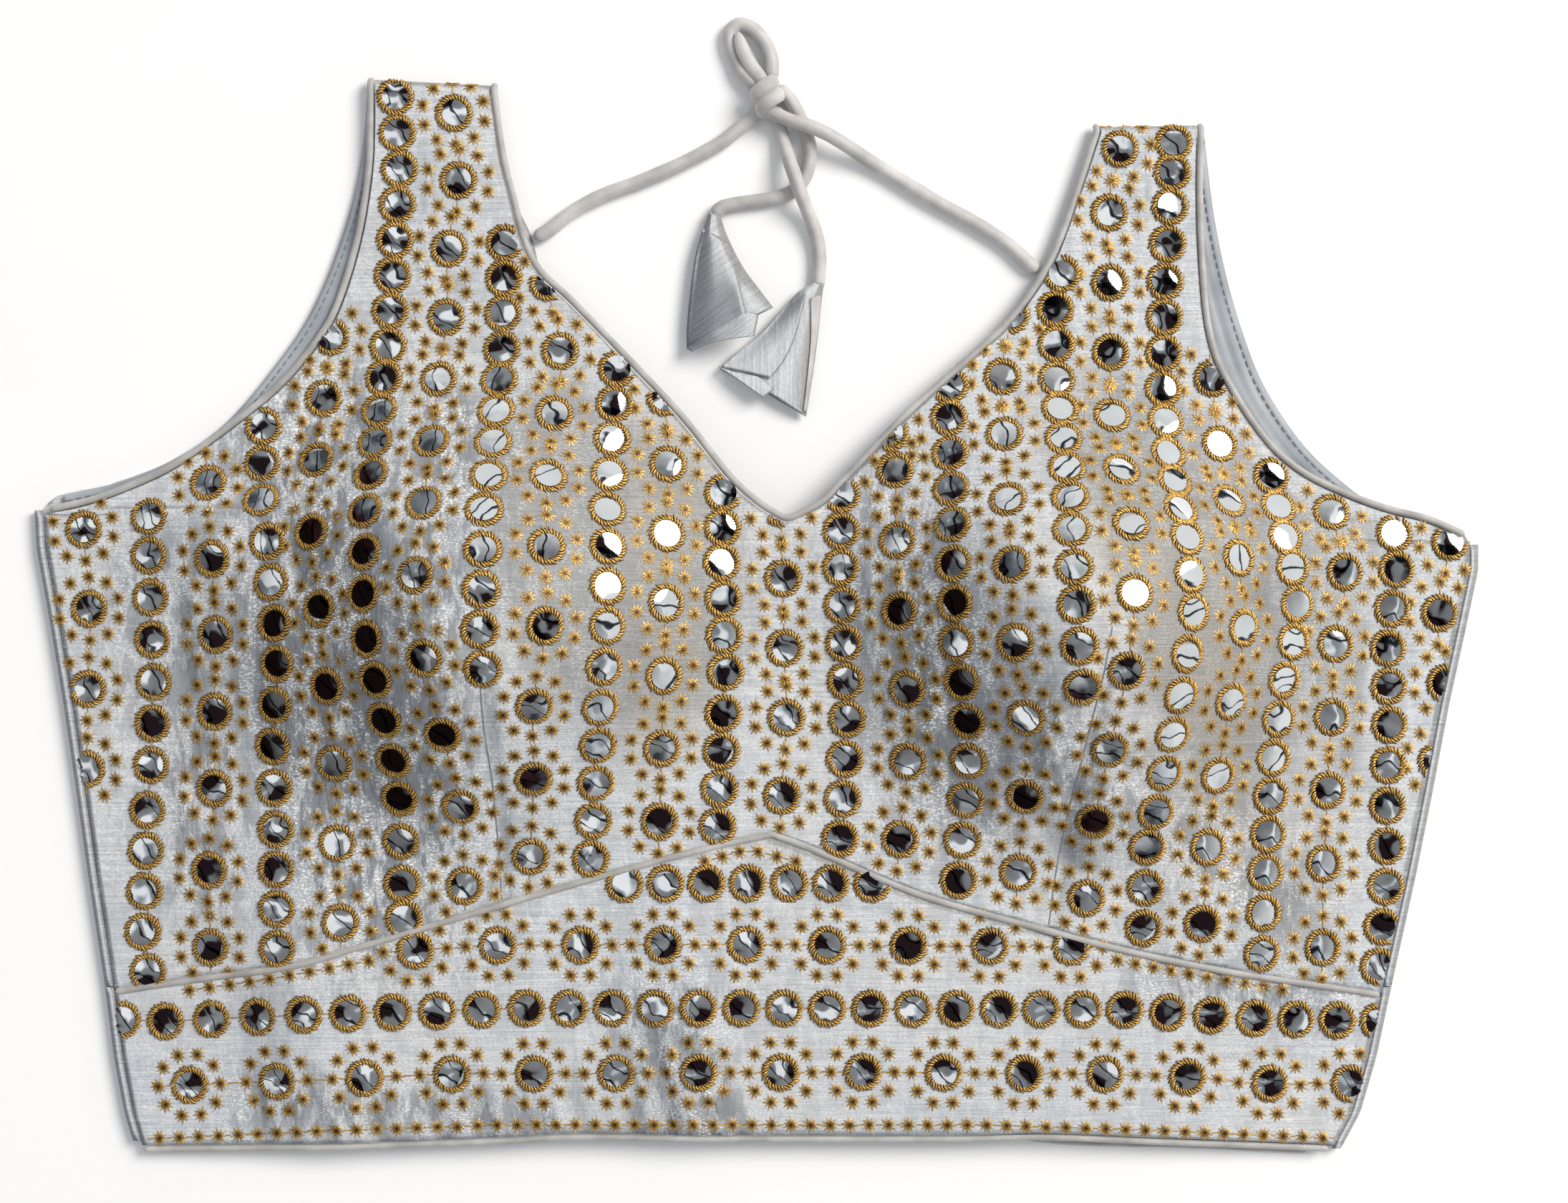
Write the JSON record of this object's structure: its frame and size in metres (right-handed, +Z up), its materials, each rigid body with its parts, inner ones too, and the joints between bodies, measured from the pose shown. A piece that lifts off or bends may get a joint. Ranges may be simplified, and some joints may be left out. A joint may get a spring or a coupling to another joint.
{
  "type": "choli blouse",
  "caption": "Sleeveless princess-cut choli blouse laid flat, front up, with V neck, padded cups, shaped waistband and tie cords knotted in a bow",
  "frame": {"origin": "on the surface that the blouse lies on, under the middle of the garment", "axes": "X to the right across the chest, Y up the garment from hem to shoulders, Z up out of the front"},
  "size_m": [0.4612, 0.3624, 0.0418],
  "materials": {
    "dupion_silk": "satin sheen, slubbed",
    "lining": "matte",
    "piping": "matte",
    "mirror": "polished",
    "gold_thread": "silk thread"
  },
  "bodies": {
    "root": {"front_bodice": "dupion_silk", "front_band": "dupion_silk", "back_bodice_left": "dupion_silk", "back_bodice_right": "dupion_silk", "back_band_left": "dupion_silk", "back_band_right": "dupion_silk", "back_armhole_facing_left": "lining", "back_armhole_facing_right": "lining", "neck_piping": "piping", "armhole_piping_left": "piping", "armhole_piping_right": "piping", "underbust_piping": "piping", "front_hem_piping": "piping", "back_hem_binding": "piping", "dori_left": "piping", "dori_right": "piping", "tie_knot": "piping", "tie_loop": "piping", "tie_inner_strand": "piping", "tail_left": "piping", "tail_right": "piping", "latkan_left": "dupion_silk", "latkan_right": "dupion_silk"}
  },
  "joints": []
}
